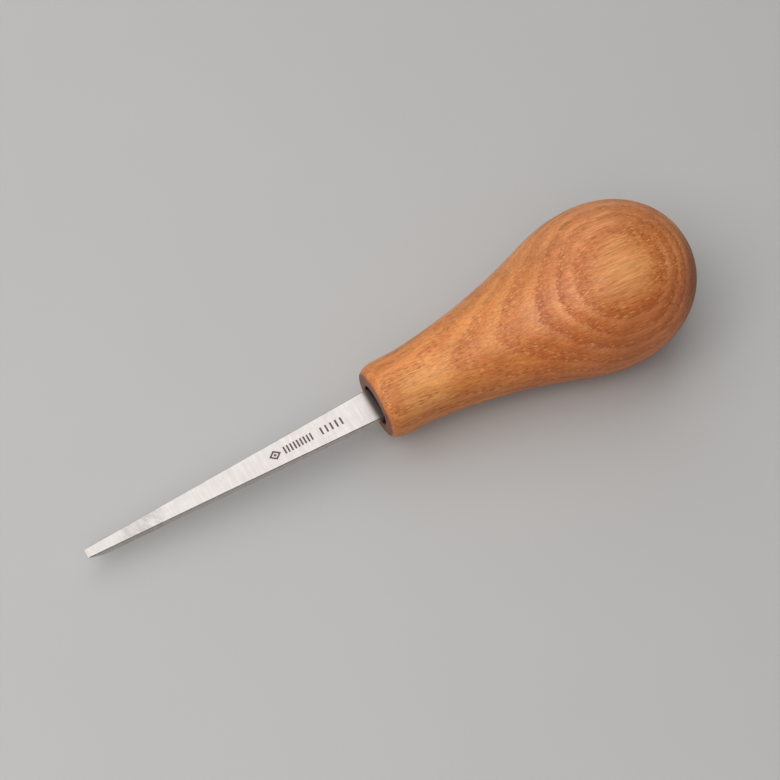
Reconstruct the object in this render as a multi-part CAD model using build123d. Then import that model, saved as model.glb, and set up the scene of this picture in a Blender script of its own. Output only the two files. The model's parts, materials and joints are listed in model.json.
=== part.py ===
from build123d import *
import os

# A palm-handled flat lino cutter: a tapered steel blade with a 2 mm edge, glued into the blind bore
# of a pear-shaped turned wooden handle.
#
# Frame, in millimetres: the origin is the centre of the handle's flat front face, where the blade
# comes out. +X runs along the tool's axis into the handle, so the cutting edge is at -X. The blade's
# flat face looks along +Z, and Y lies across its width.

# ---- Driving dimensions ----
OVERALL_LENGTH = 129.2
HANDLE_LENGTH = 68.6

# Handle, as radii about the axis and stations behind the front face
FACE_RADIUS = 6.3  # flat end-grain face around the bore
NECK_RADIUS = 7.6
NECK_START = 3.2  # where the rounded rim has become the cylindrical neck
NECK_END = 7.8  # where the neck starts to flare
BULB_RADIUS = 16.25
BULB_STATION = 50.0  # the widest place
BORE_RADIUS = 4.0
BORE_DEPTH = 34.0
DRILL_TIP_DEPTH = 1.6  # the cone that the drill leaves at the bottom of the bore
MOUTH_BREAK = 0.15  # softened edge of the bore

# Handle, as the pull of its curves
RIM_RISE = (0.1, 0.6)  # along and out from the face's edge, where the rim starts to round over
RIM_EASE = 1.6  # ahead of the neck, where the rim starts to level out
FLARE_EASE = 0.8  # behind the neck, still level with it
FLARE_SAG = (12.0, 10.0)  # ahead of the widest place, and the radius that hollows the flare
FLARE_SWELL = 13.6  # ahead of the widest place, already at its radius
CROWN_FULLNESS = 0.575  # 0.552 would be a plain quarter ellipse

# Blade
BLADE_THICKNESS = 1.7
EDGE_WIDTH = 2.0
MOUTH_WIDTH = 6.75  # blade width where it enters the handle
EDGE_BREAK = 0.12  # chamfer along the blade's long edges
BEVEL_LENGTH = 3.5  # main bevel, ground on the underside
BACK_BEVEL_LENGTH = 0.45  # fine bevel on the flat face, at the edge
BACK_BEVEL_DROP = 0.1

# Hidden tang
SHOULDER_DEPTH = 5.0  # full blade width reaches this far into the bore
TANG_WIDTH = 4.6
TANG_END_WIDTH = 2.4
TANG_POINT_START = 29.0
TANG_END = 32.5
SHOULDER_RADIUS = 0.5

# Adhesive
ADHESIVE_START = 2.6  # how far below the front face it stops

# Etched mark: a lozenge and two rows of plain bars
MARK_DEPTH = 0.04
MARK_HEIGHT = 1.6
LOZENGE_CENTRE = -21.3
LOZENGE_LENGTH = 2.5
LOZENGE_HEIGHT = 2.1
LOZENGE_STROKE = 0.34
LONG_ROW_START = -19.4
LONG_ROW_BARS = 9
LONG_ROW_PITCH = 0.7
LONG_ROW_BAR = 0.34
SHORT_ROW_START = -11.6
SHORT_ROW_BARS = 5
SHORT_ROW_PITCH = 1.05
SHORT_ROW_BAR = 0.36

# ---- Worked out from those ----
PROJECTION = OVERALL_LENGTH - HANDLE_LENGTH
TIP = -PROJECTION
HALF_THICKNESS = BLADE_THICKNESS / 2
TAPER_PER_MM = (MOUTH_WIDTH - EDGE_WIDTH) / PROJECTION
SHOULDER_WIDTH = MOUTH_WIDTH + TAPER_PER_MM * SHOULDER_DEPTH
CUTTING_EDGE_Z = HALF_THICKNESS - BACK_BEVEL_DROP


def handle_outline():
    """Half of the handle's section, above the axis, as one closed face in the XY plane."""
    face_edge = (0, FACE_RADIUS)
    neck_start = (NECK_START, NECK_RADIUS)
    neck_end = (NECK_END, NECK_RADIUS)
    bulb_top = (BULB_STATION, BULB_RADIUS)
    crown_end = (HANDLE_LENGTH, 0)
    rim = Bezier(
        face_edge,
        (RIM_RISE[0], FACE_RADIUS + RIM_RISE[1]),
        (NECK_START - RIM_EASE, NECK_RADIUS),
        neck_start,
    )
    neck = Line(neck_start, neck_end)
    # The flare leaves the neck gently and reaches the bulb's widest place level with the axis.
    flare = Bezier(
        neck_end,
        (NECK_END + FLARE_EASE, NECK_RADIUS),
        (BULB_STATION - FLARE_SAG[0], FLARE_SAG[1]),
        (BULB_STATION - FLARE_SWELL, BULB_RADIUS),
        bulb_top,
    )
    # The crown is a little fuller than an ellipse and meets the axis squarely.
    crown = Bezier(
        bulb_top,
        (BULB_STATION + CROWN_FULLNESS * (HANDLE_LENGTH - BULB_STATION), BULB_RADIUS),
        (HANDLE_LENGTH, CROWN_FULLNESS * BULB_RADIUS),
        crown_end,
    )
    bore = Polyline(
        crown_end,
        (BORE_DEPTH + DRILL_TIP_DEPTH, 0),
        (BORE_DEPTH, BORE_RADIUS),
        (MOUTH_BREAK, BORE_RADIUS),
        (0, BORE_RADIUS + MOUTH_BREAK),
        face_edge,
    )
    return make_face([rim, neck, flare, crown, bore])


def make_handle():
    """The turned handle, with its blind bore."""
    return revolve(handle_outline(), axis=Axis.X)


def blade_plan():
    """The blade and tang seen from above, as a face in the XY plane."""
    half_outline = [
        (TIP, EDGE_WIDTH / 2),
        (SHOULDER_DEPTH, SHOULDER_WIDTH / 2),
        (SHOULDER_DEPTH, TANG_WIDTH / 2),
        (TANG_POINT_START, TANG_WIDTH / 2),
        (TANG_END, TANG_END_WIDTH / 2),
    ]
    mirrored = [(x, -y) for x, y in reversed(half_outline)]
    return make_face(Polyline(*half_outline, *mirrored, close=True))


def blade_side():
    """The blade seen from the side, as a face in the XZ plane: two bevels meet at the edge."""
    profile = [
        (TIP, 0, CUTTING_EDGE_Z),
        (TIP + BACK_BEVEL_LENGTH, 0, HALF_THICKNESS),
        (TANG_END, 0, HALF_THICKNESS),
        (TANG_END, 0, -HALF_THICKNESS),
        (TIP + BEVEL_LENGTH, 0, -HALF_THICKNESS),
    ]
    return make_face(Polyline(*profile, close=True))


def lozenge(length, height):
    """A rhombus centred on the mark's first place."""
    corners = [
        (LOZENGE_CENTRE - length / 2, 0),
        (LOZENGE_CENTRE, height / 2),
        (LOZENGE_CENTRE + length / 2, 0),
        (LOZENGE_CENTRE, -height / 2),
    ]
    return make_face(Polyline(*corners, close=True))


def bar_row(start, count, pitch, width):
    """Upright bars in a row along the blade."""
    return [
        Pos(start + pitch * i + width / 2, 0) * Rectangle(width, MARK_HEIGHT) for i in range(count)
    ]


def etched_mark():
    """The shallow pockets of the mark, ready to be cut out of the blade's flat face."""
    outer = lozenge(LOZENGE_LENGTH, LOZENGE_HEIGHT)
    inner = offset(outer, amount=-LOZENGE_STROKE, kind=Kind.INTERSECTION)
    dot = lozenge(2 * LOZENGE_STROKE, 2 * LOZENGE_STROKE)
    shapes = [outer - inner, dot]
    shapes += bar_row(LONG_ROW_START, LONG_ROW_BARS, LONG_ROW_PITCH, LONG_ROW_BAR)
    shapes += bar_row(SHORT_ROW_START, SHORT_ROW_BARS, SHORT_ROW_PITCH, SHORT_ROW_BAR)
    floor = Pos(0, 0, HALF_THICKNESS - MARK_DEPTH)
    return [extrude(floor * shape, 2 * MARK_DEPTH, dir=(0, 0, 1)) for shape in shapes]


def make_blade():
    """The steel: plan and side view intersected, edges broken, shoulders eased, mark etched."""
    plan = extrude(blade_plan(), HALF_THICKNESS, both=True, dir=(0, 0, 1))
    side = extrude(blade_side(), SHOULDER_WIDTH, both=True, dir=(0, 1, 0))
    steel = plan & side
    shoulder_edges = steel.edges().filter_by(Axis.Z).filter_by_position(
        Axis.X, SHOULDER_DEPTH, SHOULDER_DEPTH
    )
    inner_corners = shoulder_edges.sort_by(lambda edge: abs(edge.center().Y))[:2]
    steel = fillet(inner_corners, SHOULDER_RADIUS)
    long_edges = steel.edges().filter_by(lambda edge: edge.length > PROJECTION - BEVEL_LENGTH)
    steel = chamfer(long_edges, EDGE_BREAK)
    for pocket in etched_mark():
        steel -= pocket
    return steel


def make_tang_adhesive(blade):
    """Cured adhesive: the bore, from below its mouth to its drilled bottom, less the steel in it."""
    plug_outline = [
        (ADHESIVE_START, 0),
        (ADHESIVE_START, BORE_RADIUS),
        (BORE_DEPTH, BORE_RADIUS),
        (BORE_DEPTH + DRILL_TIP_DEPTH, 0),
    ]
    plug = revolve(make_face(Polyline(*plug_outline, close=True)), axis=Axis.X)
    return plug - blade


def main():
    os.makedirs("parts", exist_ok=True)
    blade = make_blade()
    pieces = {
        "handle": make_handle(),
        "blade": blade,
        "tang_adhesive": make_tang_adhesive(blade),
    }
    for name, piece in pieces.items():
        export_step(piece, f"parts/{name}.step")


main()
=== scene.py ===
import json
from math import cos, pi, radians, sin

import bmesh
import bpy
from mathutils import Matrix, Vector


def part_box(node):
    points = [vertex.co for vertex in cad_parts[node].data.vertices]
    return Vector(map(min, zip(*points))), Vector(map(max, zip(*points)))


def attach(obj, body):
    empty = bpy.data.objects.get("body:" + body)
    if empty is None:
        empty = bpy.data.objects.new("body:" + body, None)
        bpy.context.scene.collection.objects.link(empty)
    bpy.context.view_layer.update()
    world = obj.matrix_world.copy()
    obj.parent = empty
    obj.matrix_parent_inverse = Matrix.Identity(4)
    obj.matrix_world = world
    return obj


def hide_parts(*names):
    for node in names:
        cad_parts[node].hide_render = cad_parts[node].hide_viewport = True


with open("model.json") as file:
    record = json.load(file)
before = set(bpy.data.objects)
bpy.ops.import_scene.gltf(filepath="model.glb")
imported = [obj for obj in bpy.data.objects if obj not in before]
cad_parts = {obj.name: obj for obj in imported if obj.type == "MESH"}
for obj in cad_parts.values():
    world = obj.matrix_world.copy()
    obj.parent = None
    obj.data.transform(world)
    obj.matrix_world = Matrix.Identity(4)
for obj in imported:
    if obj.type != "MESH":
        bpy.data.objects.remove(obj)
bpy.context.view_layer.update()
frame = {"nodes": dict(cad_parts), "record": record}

# A palm-handled lino cutter at rest on a pale studio sweep.
# The row frame: +X runs along the tool into the handle, the cutting edge is at -X, and +Z is the way
# the blade's flat face looks. Names ending in _MM are millimetres; everything handed to Blender is in
# metres, by way of MM.

MM = 0.001
BODY = "root"


def colour(red, green, blue):
    """A colour given as it looks on screen, from 0 to 255, as linear values."""
    linear = []
    for value in (red, green, blue):
        share = value / 255
        linear.append(share / 12.92 if share <= 0.04045 else ((share + 0.055) / 1.055) ** 2.4)
    return (*linear, 1.0)


# ---- From the frame ----
_, handle_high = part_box("handle")
blade_low, blade_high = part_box("blade")
HANDLE_LENGTH_MM = handle_high.x / MM
BULB_RADIUS_MM = handle_high.z / MM
BLADE_TIP_MM = blade_low.x / MM
BLADE_FACE_MM = blade_high.z / MM
neck = next(m for m in frame["record"]["mounts"] if m["name"] == "neck")
NECK_RADIUS_MM = neck["dims"]["r_mm"]
NECK_MIDDLE_MM = neck["pos_m"][0] / MM
NECK_START_MM = NECK_MIDDLE_MM - neck["dims"]["length_mm"] / 2
NECK_END_MM = NECK_MIDDLE_MM + neck["dims"]["length_mm"] / 2

# ---- The handle's turned outline ----
FACE_RADIUS_MM = 6.3
BORE_RADIUS_MM = 4.0
BORE_DEPTH_MM = 34.0
DRILL_TIP_MM = 1.6
MOUTH_BREAK_MM = 0.15
RIM_RISE_MM = (0.1, 0.6)
RIM_EASE_MM = 1.6
FLARE_EASE_MM = 0.8
FLARE_SAG_MM = (12.0, 10.0)
FLARE_SWELL_MM = 13.6
BULB_STATION_MM = 50.0
CROWN_FULLNESS = 0.575

# ---- The handle's mesh: how many steps along each stretch, and round the axis ----
BORE_STEPS = 24
FACE_STEPS = 8
RIM_STEPS = 16
NECK_STEPS = 16
FLARE_STEPS = 120
CROWN_STEPS = 84
HANDLE_AROUND = 300
SHARP_ANGLE = radians(28)

# ---- How the wood grew ----
# The year rings are round shells about the tree's pith, which ran below the handle along the grain.
# A ring level is a height above the handle's axis at the bulb's widest station, along RING_NORMAL.
RING_NORMAL = Vector((0.044, -0.367, 0.929)).normalized()
GRAIN_HINT = Vector((1.0, -0.06, 0.0))
GRAIN = (GRAIN_HINT - GRAIN_HINT.dot(RING_NORMAL) * RING_NORMAL).normalized()
ACROSS = RING_NORMAL.cross(GRAIN)
CROWN_END_AND_SHADE = Vector((0.91, -0.37, -0.18)).normalized()  # tilted to the crown's lower side: end grain there, with painted shade
SHADOW_SIDE = Vector((0.0, -0.90, -0.44)).normalized()  # the side turned from the light, darkened with painted shade; the other side gets painted sheen
WANDER_MM = 0.9  # the rings stray by this much in long slow waves
RIPPLE_MM = 1.5  # and their edges fray by this much along the fibres
PITH_DEPTH_MM = 25.0
# Where each year began, from the bark side down to the pith side: good years and lean years.
YEAR_LEVELS_MM = (17.0, 14.44, 13.15, 11.57, 9.01, 6.88, 4.7, 2.9, 0.9)
HIDDEN_YEAR_MM = 2.1
HIDDEN_YEAR_VARIES = 0.3  # the share by which the years below the photo's ones differ in width
HIDDEN_YEAR_STEP = 2.4
DEEPEST_LEVEL_MM = -18.0

# Length along the grain and width across it of a texture's cells, and a vessel's share of its cell
WANDER_CELL_MM = (30.0, 9.0)
RIPPLE_CELL_MM = (4.0, 0.55)
WIDE_VESSEL_CELL_MM = (1.7, 0.30)
WIDE_VESSEL_RADIUS = 0.50
NARROW_VESSEL_CELL_MM = (1.1, 0.19)
NARROW_VESSEL_RADIUS = 0.48
STREAK_CELL_MM = (8.0, 0.34)
STREAK_RADIUS = 0.30
FIBRE_CELL_MM = (7.0, 0.24)
BAND_CELL_MM = (12.0, 0.9)
CLOUD_CELL_MM = (15.0, 5.0)

# Stretches over which something in the wood comes in. The first value is where there is none of it yet,
# the second where there is all of it. Seasons run from 0, the latest wood, to 1, the year's beginning.
EARLY_WOOD_COMES = (0.34, 0.72)
EARLY_WOOD_STARTS = (1.0, 0.92)
CROWD_COMES = (0.46, 0.86)
CROWD_STARTS = (1.0, 0.88)
ROSY_FROM_MM = (9.6, 11.8)  # this one to CORE_FROM_MM are ring levels
ROSY_UNTIL_MM = (14.9, 14.3)
CROWDED_FROM_MM = (6.0, 12.0)
CALM_BELOW_MM = (11.5, 7.5)
CORE_FROM_MM = (14.9, 16.3)
SHADE_FROM_MM = (0.5, 6.5)  # these two are distances towards the shaded side, for painted shade and painted sheen
SHEEN_FROM_MM = (-2.0, -11.0)
FLARE_X_MM = (18.0, 32.0)  # these three are along X
SAPWOOD_STARTS_X_MM = (2.5, 6.0)
SAPWOOD_ENDS_X_MM = (17.0, 9.0)

# ---- Colours of the wood ----
# Through a year, as the season runs from the late wood at 0 to the year's beginning at 1.
GOLDEN_YEAR = (
    (0.0, colour(227, 148, 82)),
    (0.16, colour(229, 151, 84)),
    (0.34, colour(222, 139, 72)),
    (0.44, colour(214, 127, 65)),
    (0.62, colour(217, 132, 68)),
    (0.93, colour(209, 123, 63)),
    (1.0, colour(227, 148, 82)),
)
ROSY_YEAR = (
    (0.0, colour(234, 154, 105)),
    (0.22, colour(230, 146, 92)),
    (0.44, colour(211, 125, 73)),
    (0.93, colour(203, 117, 65)),
    (1.0, colour(234, 154, 105)),
)
PATCH_TONE = colour(193, 106, 46)  # slow darker patches
CROWD_TONE = colour(183, 95, 44)
CALM_TONE = colour(217, 134, 70)
CORE_TONE = colour(224, 157, 98)
# Painted shade on the bulb's lower side, and painted sheen on its upper side
PAINTED_SHADE_TONE = colour(191, 91, 34)
PAINTED_SHEEN_TONE = colour(198, 137, 88)
SAPWOOD_TONE = colour(236, 164, 96)
DARK_BAND_TONE = colour(189, 100, 44)
PALE_BAND_TONE = colour(241, 168, 100)
PORE_TONE = colour(150, 76, 36)
DARK_PORE_TONE = colour(142, 71, 38)
PALE_PORE_TONE = colour(244, 182, 121)
# End grain on the crown, darkened further by painted shade on its lower side
CROWN_END_SHADE_TONE = colour(136, 77, 42)
FACE_END_TONE = colour(122, 86, 79)
# The bore wall: glue's darkening together with painted shade
BORE_GLUE_AND_SHADE_TONE = colour(58, 34, 26)

# ---- The steel ----
STEEL_DARK = colour(209, 203, 200)
STEEL_LIGHT = colour(221, 215, 212)
STEEL_BLOTCH = colour(201, 193, 189)
STEEL_SCUFFED = colour(158, 152, 150)
# Painted shade on the blade's narrow sides
SHADED_SIDE_TONE = colour(150, 138, 132)
# Painted reflection and shade on the steel just before the mouth
MOUTH_REFLECTION_TONE = colour(196, 186, 182)
# The etched mark's own dark colour, also used as painted shade and reflection where the steel enters the
# wood
ETCH_AND_MOUTH_SHADE_TONE = colour(84, 62, 54)
MARK_START_MM = -24.0  # the etched mark lies between here and the handle
SCUFF_FROM_TIP_MM = (5.6, 8.6)  # the scuffed stretch comes in over these distances from the tip
SCUFF_TO_TIP_MM = (17.1, 14.1)  # and goes out over these

# ---- Adhesive and paper ----
EPOXY_DARK = colour(66, 42, 24)
EPOXY_LIGHT = colour(92, 62, 36)
EPOXY_BUBBLE = colour(150, 118, 78)
PAPER_DARK = colour(188, 187, 185)
PAPER_LIGHT = colour(192, 191, 189)

# ---- Camera, as angles about the tool ----
LENS_MM = 100.0
CAMERA_DISTANCE_MM = 409.0
LEAN_TO_TIP = radians(10.0)  # how far the camera sees the front face
TURN_ABOUT_AXIS = radians(26.0)  # how far it sees the blade's -Y side
CLIP_NEAR_M = 0.01
CLIP_FAR_M = 10.0
AXIS_IN_PICTURE = radians(27.54)  # the tool's axis above the picture's horizontal
PICTURE_SHIFT_MM = (2.79, 2.87)  # the picture's centre, right of and above the front face's centre


def bezier(points, steps):
    """Points along a Bezier curve of any degree, its start left out."""
    out = []
    for step in range(1, steps + 1):
        t = step / steps
        row = [Vector(p) for p in points]
        while len(row) > 1:
            row = [a.lerp(b, t) for a, b in zip(row, row[1:])]
        out.append(tuple(row[0]))
    return out


def straight(start, end, steps):
    """Points along a straight line, its start left out."""
    return bezier([start, end], steps)


def handle_outline():
    """(station, radius) pairs in mm: up the bore, over the face and rim, and along to the crown."""
    face_edge = (0.0, FACE_RADIUS_MM)
    neck_start = (NECK_START_MM, NECK_RADIUS_MM)
    neck_end = (NECK_END_MM, NECK_RADIUS_MM)
    bulb_top = (BULB_STATION_MM, BULB_RADIUS_MM)
    points = [(BORE_DEPTH_MM, BORE_RADIUS_MM)]
    points += straight(points[-1], (MOUTH_BREAK_MM, BORE_RADIUS_MM), BORE_STEPS)
    points += straight(points[-1], (0.0, BORE_RADIUS_MM + MOUTH_BREAK_MM), 1)
    points += straight(points[-1], face_edge, FACE_STEPS)
    rim_rise = (RIM_RISE_MM[0], FACE_RADIUS_MM + RIM_RISE_MM[1])
    rim_end = (NECK_START_MM - RIM_EASE_MM, NECK_RADIUS_MM)
    points += bezier([face_edge, rim_rise, rim_end, neck_start], RIM_STEPS)
    points += straight(neck_start, neck_end, NECK_STEPS)
    points += bezier(
        [
            neck_end,
            (NECK_END_MM + FLARE_EASE_MM, NECK_RADIUS_MM),
            (BULB_STATION_MM - FLARE_SAG_MM[0], FLARE_SAG_MM[1]),
            (BULB_STATION_MM - FLARE_SWELL_MM, BULB_RADIUS_MM),
            bulb_top,
        ],
        FLARE_STEPS,
    )
    crown_mm = HANDLE_LENGTH_MM - BULB_STATION_MM
    crown = bezier(
        [
            bulb_top,
            (BULB_STATION_MM + CROWN_FULLNESS * crown_mm, BULB_RADIUS_MM),
            (HANDLE_LENGTH_MM, CROWN_FULLNESS * BULB_RADIUS_MM),
            (HANDLE_LENGTH_MM, 0.0),
        ],
        CROWN_STEPS,
    )
    return points + crown[:-1]


def as_smooth_object(mesh, name):
    """A smooth-shaded object in the scene from a finished bmesh, which is freed."""
    for face in mesh.faces:
        face.smooth = True
    data = bpy.data.meshes.new(name)
    mesh.to_mesh(data)
    mesh.free()
    piece = bpy.data.objects.new(name, data)
    bpy.context.scene.collection.objects.link(piece)
    return piece


def make_handle(outline, around=HANDLE_AROUND):
    """The turned handle as one closed mesh, with its blind bore."""
    mesh = bmesh.new()
    rings = []
    for station, radius in outline:
        ring = []
        for i in range(around):
            turn = 2 * pi * i / around
            ring.append(
                mesh.verts.new((station * MM, radius * sin(turn) * MM, radius * cos(turn) * MM))
            )
        rings.append(ring)
    for ring, following in zip(rings, rings[1:]):
        for i in range(around):
            j = (i + 1) % around
            mesh.faces.new((ring[i], ring[j], following[j], following[i]))
    bore_bottom = mesh.verts.new(((BORE_DEPTH_MM + DRILL_TIP_MM) * MM, 0, 0))
    crown_end = mesh.verts.new((HANDLE_LENGTH_MM * MM, 0, 0))
    for i in range(around):
        j = (i + 1) % around
        mesh.faces.new((bore_bottom, rings[0][j], rings[0][i]))
        mesh.faces.new((crown_end, rings[-1][i], rings[-1][j]))
    bmesh.ops.recalc_face_normals(mesh, faces=mesh.faces)
    piece = as_smooth_object(mesh, "handle_turned")
    piece.data.set_sharp_from_angle(angle=SHARP_ANGLE)
    return piece


class Nodes:
    """Builds one procedural material. Every method returns a socket that the next can take."""

    def __init__(self, name):
        self.material = bpy.data.materials.new(name)
        self.material.use_nodes = True
        self.tree = self.material.node_tree
        self.tree.nodes.clear()

    def add(self, kind, inputs, **settings):
        node = self.tree.nodes.new(kind)
        for key, value in settings.items():
            setattr(node, key, value)
        for key, value in inputs.items():
            if isinstance(value, bpy.types.NodeSocket):
                self.tree.links.new(value, node.inputs[key])
            else:
                node.inputs[key].default_value = value
        return node

    def math(self, operation, a, b=0.0):
        return self.add("ShaderNodeMath", {0: a, 1: b}, operation=operation).outputs[0]

    def plus(self, a, b):
        return self.math("ADD", a, b)

    def times(self, a, b):
        return self.math("MULTIPLY", a, b)

    def length(self, a, b):
        return self.math("SQRT", self.plus(self.times(a, a), self.times(b, b)))

    def dot(self, a, b):
        return self.add("ShaderNodeVectorMath", {0: a, 1: b}, operation="DOT_PRODUCT").outputs["Value"]

    def vector(self, x, y, z):
        return self.add("ShaderNodeCombineXYZ", {0: x, 1: y, 2: z}).outputs[0]

    def split(self, vector):
        outputs = self.add("ShaderNodeSeparateXYZ", {0: vector}).outputs
        return outputs[0], outputs[1], outputs[2]

    def noise(self, place, scale=1.0, detail=2.0, roughness=0.5):
        inputs = {"Vector": place, "Scale": scale, "Detail": detail, "Roughness": roughness}
        return self.add("ShaderNodeTexNoise", inputs).outputs[0]

    def cells(self, place, scale=1.0):
        return self.add("ShaderNodeTexVoronoi", {"Vector": place, "Scale": scale}).outputs

    def smooth(self, value, low, high, to_low=0.0, to_high=1.0):
        """Runs smoothly from to_low to to_high as the value goes from low to high."""
        inputs = {"Value": value, "From Min": low, "From Max": high, "To Min": to_low, "To Max": to_high}
        return self.add("ShaderNodeMapRange", inputs, interpolation_type="SMOOTHSTEP").outputs[0]

    def mix(self, share, a, b, blend="MIX"):
        """The first colour, with the second mixed into it by a share."""
        node = self.add("ShaderNodeMix", {}, data_type="RGBA", blend_type=blend)
        for index, value in ((0, share), (6, a), (7, b)):
            if isinstance(value, bpy.types.NodeSocket):
                self.tree.links.new(value, node.inputs[index])
            else:
                node.inputs[index].default_value = value
        return node.outputs[2]

    def ramp(self, value, stops):
        node = self.add("ShaderNodeValToRGB", {0: value})
        elements = node.color_ramp.elements
        while len(elements) < len(stops):
            elements.new(0.5)
        for element, (position, shade) in zip(elements, stops):
            element.position = position
            element.color = shade
        return node.outputs[0]

    def bump(self, height, distance_mm, strength=1.0, normal=None):
        inputs = {"Height": height, "Distance": distance_mm * MM, "Strength": strength}
        if normal is not None:
            inputs["Normal"] = normal
        return self.add("ShaderNodeBump", inputs).outputs[0]

    def place_mm(self):
        """The point's place in the row frame, in millimetres."""
        place = self.add("ShaderNodeTexCoord", {}).outputs["Object"]
        node = self.add("ShaderNodeVectorMath", {0: place, "Scale": 1 / MM}, operation="SCALE")
        return node.outputs["Vector"]

    def finish(self, inputs):
        shader = self.add("ShaderNodeBsdfPrincipled", inputs)
        output = self.tree.nodes.new("ShaderNodeOutputMaterial")
        self.tree.links.new(shader.outputs[0], output.inputs[0])
        return self.material


class Grain:
    """The point's place in the wood, in mm from the bulb's middle, and textures stretched along it."""

    def __init__(self, n, place):
        centre = Vector((BULB_STATION_MM, 0, 0))
        self.n = n
        self.along, self.across, self.height = (
            n.plus(n.dot(place, axis), -centre.dot(axis)) for axis in (GRAIN, ACROSS, RING_NORMAL)
        )

    def stretched(self, cell_mm):
        """Texture coordinates whose unit cell has this length along the grain and width across it."""
        n = self.n
        long_mm, wide_mm = cell_mm
        return n.vector(
            n.times(self.along, 1 / long_mm),
            n.times(self.across, 1 / wide_mm),
            n.times(self.height, 1 / wide_mm),
        )


def year_levels():
    """Every year's starting level, from the bark side to below the handle."""
    levels = list(YEAR_LEVELS_MM)
    while levels[-1] > DEEPEST_LEVEL_MM:
        lean = 1.0 + HIDDEN_YEAR_VARIES * sin(HIDDEN_YEAR_STEP * len(levels))
        levels.append(levels[-1] - HIDDEN_YEAR_MM * lean)
    return levels


def ring_level(n, grain):
    """The level of the ring shell that the point lies on, with the grain's wander and ripple."""
    wander = n.noise(grain.stretched(WANDER_CELL_MM), detail=1.0)
    ripple = n.noise(grain.stretched(RIPPLE_CELL_MM), detail=3.0, roughness=0.7)
    above_pith = n.plus(grain.height, PITH_DEPTH_MM)
    from_pith = n.length(grain.across, above_pith)
    level = n.plus(from_pith, -PITH_DEPTH_MM)
    level = n.plus(level, n.times(n.plus(wander, -0.5), WANDER_MM))
    return n.plus(level, n.times(n.plus(ripple, -0.5), RIPPLE_MM))


def season_at(n, level):
    """Where in its year a level grew: 0 in the latest wood, rising to 1 where the year began."""
    levels = year_levels()
    top, span = levels[0], levels[0] - levels[-1]
    years = len(levels) - 1
    below_top = n.times(n.plus(n.times(level, -1), top), 1 / span)
    grey = [((top - start) / span, (i / years,) * 3 + (1.0,)) for i, start in enumerate(levels)]
    return n.math("FRACT", n.times(n.ramp(below_top, grey), years))


def vessels(n, place, radius):
    """Vessels as stretched cells: how deep inside one the point is, and a random number for each.

    The radius is a share of the cell.
    """
    cell = n.cells(place)
    lot = n.add("ShaderNodeSeparateColor", {0: cell["Color"]}).outputs[0]
    return n.smooth(cell["Distance"], radius, radius * 0.55), lot


def cut_pores(n, grain, season):
    """The pores that the surface cuts open, each kind as a strength from 0 to 1.

    Each year starts with a crowd of wide vessels, on the pith side, and ends in smooth late wood.
    """
    early = n.times(n.smooth(season, *EARLY_WOOD_COMES), n.smooth(season, *EARLY_WOOD_STARTS))
    wide, wide_lot = vessels(n, grain.stretched(WIDE_VESSEL_CELL_MM), WIDE_VESSEL_RADIUS)
    wide = n.times(wide, early)
    narrow, narrow_lot = vessels(n, grain.stretched(NARROW_VESSEL_CELL_MM), NARROW_VESSEL_RADIUS)
    narrow = n.times(narrow, n.plus(n.times(early, 0.6), 0.4))
    streak, streak_lot = vessels(n, grain.stretched(STREAK_CELL_MM), STREAK_RADIUS)
    return {
        "wide": wide,
        "dark": n.times(wide, n.smooth(wide_lot, 0.46, 0.66)),
        "pale": n.times(wide, n.smooth(wide_lot, 0.36, 0.20)),
        "speck": n.times(narrow, n.smooth(narrow_lot, 0.5, 0.8)),
        "streak": n.times(streak, n.smooth(streak_lot, 0.55, 0.75)),
    }


def ring_tone(n, grain, level, season):
    """The colour that the rings give the wood."""
    # Two or three years near the bull's-eye came out rosier than the rest.
    flush = n.times(n.smooth(level, *ROSY_FROM_MM), n.smooth(level, *ROSY_UNTIL_MM))
    tone = n.mix(n.times(flush, 0.65), n.ramp(season, GOLDEN_YEAR), n.ramp(season, ROSY_YEAR))
    patch_place = n.vector(n.plus(grain.along, 40.0), grain.across, grain.height)
    patch = n.noise(patch_place, scale=0.07, detail=2.0)
    tone = n.mix(n.smooth(patch, 0.48, 0.66, 0.0, 0.55), tone, PATCH_TONE)
    # The crowd of vessels darkens the wood just inside each ring, most of all round the bull's-eye.
    crowd = n.times(n.smooth(season, *CROWD_COMES), n.smooth(season, *CROWD_STARTS))
    tone = n.mix(n.times(crowd, n.smooth(level, *CROWDED_FROM_MM, 0.13, 0.30)), tone, CROWD_TONE)
    # Away from the bull's-eye the rings are calmer, and inside it there is pale wood.
    tone = n.mix(n.smooth(level, *CALM_BELOW_MM, 0.0, 0.35), tone, CALM_TONE)
    return n.mix(inside_bulls_eye(n, level), tone, CORE_TONE)


def inside_bulls_eye(n, level):
    """How much of the bull's-eye's own colour the wood has."""
    return n.smooth(level, *CORE_FROM_MM, 0.0, 0.75)


def side_tone(n, tone, place):
    """Painted shade deepens the colour on the side turned from the light, painted sheen makes the other
    side paler and greyer, and the neck has some sapwood.
    """
    x, y, z = n.split(place)
    side = n.dot(place, SHADOW_SIDE)
    # Painted shade on the flare's lower side, painted sheen on the upper side.
    painted_shade = n.times(n.smooth(x, *FLARE_X_MM), n.smooth(side, *SHADE_FROM_MM, 0.0, 0.40))
    tone = n.mix(painted_shade, tone, PAINTED_SHADE_TONE)
    tone = n.mix(n.smooth(side, *SHEEN_FROM_MM, 0.0, 0.35), tone, PAINTED_SHEEN_TONE)
    on_neck = n.times(n.smooth(x, *SAPWOOD_ENDS_X_MM, 0.0, 0.7), n.smooth(x, *SAPWOOD_STARTS_X_MM))
    sapwood = n.times(on_neck, n.times(n.smooth(y, 1.5, -2.0), n.smooth(z, 1.0, 4.5)))
    return n.mix(sapwood, tone, SAPWOOD_TONE)


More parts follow.
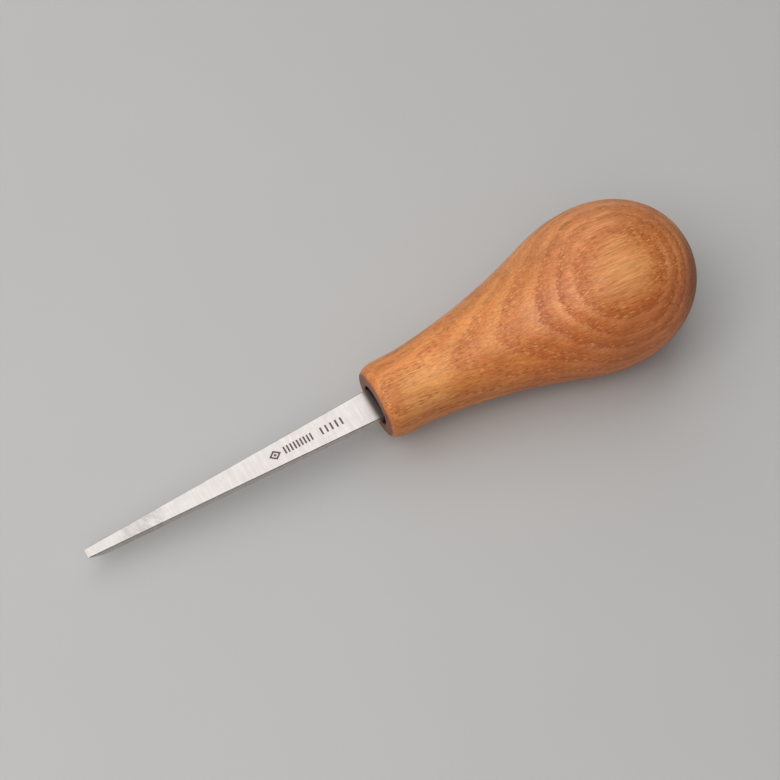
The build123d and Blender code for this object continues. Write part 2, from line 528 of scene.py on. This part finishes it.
def fibre_tone(n, tone, grain, fibre):
    """Darker and paler bands along the grain, clouds, and the fibres' own light and shade."""
    band = n.noise(grain.stretched(BAND_CELL_MM), detail=2.0)
    tone = n.mix(n.smooth(band, 0.50, 0.68, 0.0, 0.26), tone, DARK_BAND_TONE)
    tone = n.mix(n.smooth(band, 0.46, 0.32, 0.0, 0.20), tone, PALE_BAND_TONE)
    cloud = n.noise(grain.stretched(CLOUD_CELL_MM), detail=2.0)
    shade = n.times(n.smooth(cloud, 0.30, 0.70, 0.90, 1.10), n.smooth(fibre, 0.34, 0.66, 0.80, 1.16))
    return n.mix(1.0, tone, n.vector(shade, shade, shade), "MULTIPLY")


def pore_tone(n, tone, pores, level):
    """The pores' own colours. The pale wood inside the bull's-eye has few specks."""
    speck_share = n.plus(1.0, n.times(inside_bulls_eye(n, level), -0.8))
    tone = n.mix(n.times(pores["streak"], 0.50), tone, PORE_TONE)
    tone = n.mix(n.times(n.times(pores["speck"], speck_share), 0.36), tone, PORE_TONE)
    tone = n.mix(n.times(pores["dark"], 0.48), tone, DARK_PORE_TONE)
    return n.mix(n.times(pores["pale"], 0.50), tone, PALE_PORE_TONE)


def end_tone(n, tone, place, endwise_and_shaded):
    """End grain is darker, and greyer on the front face, with painted shade on the crown's lower side;
    the drilled bore is darkened by glue and by painted shade.
    """
    x, y, z = n.split(place)
    end_and_shade_tone = n.mix(n.smooth(x, 5.0, 2.0), CROWN_END_SHADE_TONE, FACE_END_TONE)
    tone = n.mix(n.smooth(endwise_and_shaded, 0.58, 0.97, 0.0, 0.85), tone, end_and_shade_tone)
    # The bore: painted shade, with the glue's own darkening.
    bore_end = BORE_DEPTH_MM + DRILL_TIP_MM
    in_bore = n.smooth(n.length(y, z), BORE_RADIUS_MM + 0.25, BORE_RADIUS_MM + 0.05)
    in_bore = n.times(in_bore, n.smooth(x, bore_end + 2.4, bore_end + 1.4))
    return n.mix(in_bore, tone, BORE_GLUE_AND_SHADE_TONE)


def oiled_wood():
    """Oiled ring-porous wood: rings, pores and fibres are solid shapes that the surface cuts."""
    n = Nodes("oiled_wood")
    place = n.place_mm()
    grain = Grain(n, place)
    level = ring_level(n, grain)
    season = season_at(n, level)
    pores = cut_pores(n, grain, season)
    fibre = n.noise(grain.stretched(FIBRE_CELL_MM), detail=4.0, roughness=0.7)
    normal = n.add("ShaderNodeNewGeometry", {}).outputs["Normal"]
    # End grain, and painted shade on the crown's lower side
    endwise_and_shaded = n.math("MAXIMUM", n.dot(normal, CROWN_END_AND_SHADE), n.times(n.dot(normal, GRAIN), -1.0))

    tone = ring_tone(n, grain, level, season)
    tone = side_tone(n, tone, place)
    tone = fibre_tone(n, tone, grain, fibre)
    tone = pore_tone(n, tone, pores, level)
    tone = end_tone(n, tone, place, endwise_and_shaded)

    finer_grooves = n.plus(n.times(pores["speck"], 0.5), n.times(pores["streak"], 0.5))
    grooves = n.plus(pores["wide"], finer_grooves)
    relief = n.plus(n.times(grooves, -1.0), n.times(fibre, 0.3))
    hand_sanded = n.bump(n.noise(place, scale=0.22, detail=2.0), distance_mm=0.25, strength=0.5)
    return n.finish(
        {
            "Base Color": tone,
            "Roughness": n.plus(n.smooth(fibre, 0.2, 0.8, 0.40, 0.50), n.times(grooves, 0.15)),
            "IOR": 1.46,
            "Specular IOR Level": n.smooth(endwise_and_shaded, 0.45, 0.95, 0.42, 0.16),
            "Normal": n.bump(relief, distance_mm=0.035, strength=0.6, normal=hand_sanded),
        }
    )


def scuffed_stretch(n, x, slant):
    """How scuffed the steel is: a stretch near the tip was dressed at a slant to the grinding."""
    from_tip = n.plus(x, -BLADE_TIP_MM)
    here = n.times(n.smooth(from_tip, *SCUFF_FROM_TIP_MM), n.smooth(from_tip, *SCUFF_TO_TIP_MM))
    return n.times(here, n.smooth(slant, 0.42, 0.60))


def etched_floor(n, place):
    """How etched the steel is: the sunken floor of the mark's pockets, a little worn."""
    x, _, z = n.split(place)
    sunken = n.smooth(z, BLADE_FACE_MM - 0.015, BLADE_FACE_MM - 0.03)
    on_top = n.smooth(z, BLADE_FACE_MM - 0.15, BLADE_FACE_MM - 0.10)
    on_mark = n.times(sunken, n.times(n.smooth(x, MARK_START_MM, MARK_START_MM + 0.5), on_top))
    worn = n.smooth(n.noise(place, scale=5.0, detail=3.0), 0.30, 0.55, 0.75, 1.0)
    return n.times(on_mark, worn)


def steel_tone(n, place, scuffed, etched):
    """The steel's colour, with bands and blotches across it, and painted shade and reflection at its
    sides and mouth.
    """
    x, y, z = n.split(place)
    band = n.noise(n.vector(n.times(x, 1.3), n.times(y, 0.15), n.times(z, 0.15)), detail=4.0)
    blotch = n.noise(n.vector(n.times(x, 0.35), n.times(y, 0.5), z), detail=3.0)
    tone = n.mix(n.smooth(band, 0.3, 0.7), STEEL_DARK, STEEL_LIGHT)
    tone = n.mix(n.smooth(blotch, 0.35, 0.7, 0.0, 0.35), tone, STEEL_BLOTCH)
    tone = n.mix(n.times(scuffed, 0.45), tone, STEEL_SCUFFED)
    # Painted shade darkens the narrow sides of the blade.
    normal = n.add("ShaderNodeNewGeometry", {}).outputs["Normal"]
    sideways = n.math("ABSOLUTE", n.dot(normal, (0.0, 1.0, 0.0)))
    tone = n.mix(n.smooth(sideways, 0.75, 0.95, 0.0, 0.25), tone, SHADED_SIDE_TONE)
    # Painted reflection of the handle's dark front face, and painted shade, darken the steel where it
    # goes into the wood.
    tone = n.mix(n.smooth(x, -4.0, -0.5, 0.0, 0.25), tone, MOUTH_REFLECTION_TONE)
    tone = n.mix(n.smooth(x, -1.5, -0.4, 0.0, 0.85), tone, ETCH_AND_MOUTH_SHADE_TONE)
    # The etched mark takes the same dark tone as its own colour.
    return n.mix(etched, tone, ETCH_AND_MOUTH_SHADE_TONE)


def ground_steel():
    """Hardened steel ground across its width, with its scuffs, painted shade and reflection at its sides
    and mouth, and dark etched mark.
    """
    n = Nodes("ground_steel")
    place = n.place_mm()
    x, y, z = n.split(place)
    grind_place = n.vector(n.times(x, 12.0), n.times(y, 0.8), n.times(z, 0.8))
    grind = n.noise(grind_place, detail=5.0, roughness=0.65)
    slant_place = n.vector(n.plus(n.times(x, 6.0), n.times(y, 3.5)), n.times(y, 0.5), z)
    slant = n.noise(slant_place, detail=4.0, roughness=0.7)
    scuffed = scuffed_stretch(n, x, slant)
    etched = etched_floor(n, place)
    roughness = n.plus(n.smooth(grind, 0.3, 0.7, 0.26, 0.38), n.times(scuffed, 0.10))
    relief = n.plus(grind, n.times(n.times(slant, scuffed), 0.8))
    return n.finish(
        {
            "Base Color": steel_tone(n, place, scuffed, etched),
            "Metallic": n.plus(n.times(etched, -0.9), 1.0),
            "Roughness": n.plus(roughness, n.times(etched, 0.25)),
            "Anisotropic": 0.6,
            "Tangent": n.vector(1.0, 0.0, 0.0),
            "Normal": n.bump(relief, distance_mm=0.010, strength=0.35),
        }
    )


def cured_epoxy():
    """Clear amber adhesive, glossy, with a few trapped bubbles."""
    n = Nodes("cured_epoxy")
    place = n.place_mm()
    bubble = n.smooth(n.cells(place, scale=1.3)["Distance"], 0.22, 0.12)
    swirl = n.noise(place, scale=0.4, detail=2.0)
    tone = n.mix(swirl, EPOXY_DARK, EPOXY_LIGHT)
    tone = n.mix(n.times(bubble, 0.5), tone, EPOXY_BUBBLE)
    return n.finish(
        {
            "Base Color": tone,
            "Roughness": n.smooth(swirl, 0.2, 0.8, 0.10, 0.22),
            "IOR": 1.55,
            "Coat Weight": 0.4,
            "Normal": n.bump(n.plus(swirl, n.times(bubble, -0.5)), distance_mm=0.15, strength=0.5),
        }
    )


def dress(piece, material):
    """Gives every face of the piece the one material."""
    piece.data.materials.clear()
    piece.data.materials.append(material)


# ---- Stage ----
TABLE_LEAN = radians(6.2)  # the table against the tool's axis: the bulb touches, the tip stays clear
FLOOR_FLAT_MM = 900.0  # radius of the flat part
FLOOR_BEND_MM = 500.0  # radius of the bend up
FLOOR_WALL_MM = 500.0  # height of the wall above the bend
FLOOR_FLAT_STEPS = 6
FLOOR_BEND_STEPS = 24
FLOOR_WALL_STEPS = 2
FLOOR_AROUND = 96
# Each softbox: watts, elevation above the table, compass angle in the picture (0 right, 90 up),
# distance and side in metres.
SOFTBOXES = {
    "wide_softbox": (1.30, radians(46), radians(122), 0.56, 0.88),
    "back_softbox": (0.80, radians(66), radians(108), 0.70, 0.60),
    "side_softbox": (0.74, radians(45), radians(200), 0.62, 0.45),
    "front_softbox": (3.05, radians(60), radians(233), 0.80, 0.58),
    "low_softbox": (1.00, radians(55), radians(285), 0.80, 0.58),
}
AIR_COLOUR = colour(250, 252, 255)
AIR_STRENGTH = 0.09  # light from all round


def floor_profile():
    """(radius, height) pairs in mm, from the middle of the flat part to the top of the wall."""
    profile = [(0.0, 0.0)] + straight((0.0, 0.0), (FLOOR_FLAT_MM, 0.0), FLOOR_FLAT_STEPS)
    for step in range(1, FLOOR_BEND_STEPS + 1):
        turn = pi / 2 * step / FLOOR_BEND_STEPS
        profile.append((FLOOR_FLAT_MM + FLOOR_BEND_MM * sin(turn), FLOOR_BEND_MM * (1 - cos(turn))))
    wall_top = (profile[-1][0], FLOOR_BEND_MM + FLOOR_WALL_MM)
    return profile + straight(profile[-1], wall_top, FLOOR_WALL_STEPS)


def make_floor(outline):
    """A round studio sweep that the bulb lies on: flat under the tool and curving up all round."""
    mesh = bmesh.new()
    middle = mesh.verts.new((0, 0, 0))
    turns = [2 * pi * i / FLOOR_AROUND for i in range(FLOOR_AROUND)]
    rings = []
    for radius, height in floor_profile()[1:]:
        rings.append(
            [mesh.verts.new((radius * cos(t) * MM, radius * sin(t) * MM, height * MM)) for t in turns]
        )
    for i in range(FLOOR_AROUND):
        j = (i + 1) % FLOOR_AROUND
        mesh.faces.new((middle, rings[0][i], rings[0][j]))
        for ring, following in zip(rings, rings[1:]):
            mesh.faces.new((ring[i], following[i], following[j], ring[j]))
    floor = as_smooth_object(mesh, "studio_floor")
    up = Vector((sin(TABLE_LEAN), 0, cos(TABLE_LEAN)))
    depth_mm = max(radius * up.z - station * up.x for station, radius in outline)
    floor.rotation_euler = (0, TABLE_LEAN, 0)
    floor.location = up * (-depth_mm * MM)
    dress(floor, floor_paper())
    return up


def floor_paper():
    """Plain pale matte paper."""
    n = Nodes("floor_paper")
    place = n.place_mm()
    mottle = n.noise(place, scale=0.02, detail=2.0)
    tooth = n.noise(place, scale=1.2, detail=3.0)
    tone = n.mix(mottle, PAPER_DARK, PAPER_LIGHT)
    return n.finish(
        {
            "Base Color": tone,
            "Roughness": 0.9,
            "Specular IOR Level": 0.15,
            "Normal": n.bump(tooth, distance_mm=0.02, strength=0.3),
        }
    )


def picture_axes():
    """The picture's right, up and towards-the-viewer directions in the row frame."""
    a, t, roll = LEAN_TO_TIP, TURN_ABOUT_AXIS, AXIS_IN_PICTURE
    viewer = Vector((-sin(a), -cos(a) * sin(t), cos(a) * cos(t)))
    to_bulb = Vector((cos(a), -sin(a) * sin(t), sin(a) * cos(t)))
    to_side = Vector((0, -cos(t), -sin(t)))
    right = cos(roll) * to_bulb + sin(roll) * to_side
    up = sin(roll) * to_bulb - cos(roll) * to_side
    return right, up, viewer


def as_rotation(right, up, back):
    """The rotation of an object whose local X, Y and Z are these directions."""
    return Matrix((right, up, back)).transposed().to_quaternion()


def make_camera():
    """A camera where the photo's stood."""
    right, up, viewer = picture_axes()
    data = bpy.data.cameras.new("camera")
    data.lens = LENS_MM
    data.clip_start = CLIP_NEAR_M
    data.clip_end = CLIP_FAR_M
    camera = bpy.data.objects.new("camera", data)
    shift = PICTURE_SHIFT_MM[0] * right + PICTURE_SHIFT_MM[1] * up
    camera.location = (viewer * CAMERA_DISTANCE_MM + shift) * MM
    camera.rotation_mode = "QUATERNION"
    camera.rotation_quaternion = as_rotation(right, up, viewer)
    bpy.context.scene.collection.objects.link(camera)
    bpy.context.scene.camera = camera


def make_softbox(name, direction, distance, size, watts):
    """A square area light that faces the tool from a direction, in metres."""
    data = bpy.data.lights.new(name, "AREA")
    data.shape = "SQUARE"
    data.size = size
    data.energy = watts
    light = bpy.data.objects.new(name, data)
    light.location = direction.normalized() * distance
    light.rotation_mode = "QUATERNION"
    light.rotation_quaternion = direction.to_track_quat("Z", "Y")
    light.visible_camera = False
    bpy.context.scene.collection.objects.link(light)


def make_lights(table_up):
    """The softboxes about the table, and a little light from all round."""
    right = picture_axes()[0]
    table_right = (right - right.dot(table_up) * table_up).normalized()
    table_away = table_up.cross(table_right)
    for name, (watts, elevation, compass, distance, size) in SOFTBOXES.items():
        level = cos(compass) * table_right + sin(compass) * table_away
        direction = sin(elevation) * table_up + cos(elevation) * level
        make_softbox(name, direction, distance, size, watts)
    world = bpy.data.worlds.new("studio_air")
    world.use_nodes = True
    background = world.node_tree.nodes["Background"]
    background.inputs[0].default_value = AIR_COLOUR
    background.inputs[1].default_value = AIR_STRENGTH
    bpy.context.scene.world = world


def main():
    outline = handle_outline()
    handle = make_handle(outline)
    dress(handle, oiled_wood())
    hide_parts("handle")
    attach(handle, BODY)
    dress(frame["nodes"]["blade"], ground_steel())
    dress(frame["nodes"]["tang_adhesive"], cured_epoxy())
    table_up = make_floor(outline)
    make_camera()
    make_lights(table_up)
    bpy.context.scene.view_settings.view_transform = "Standard"


main()
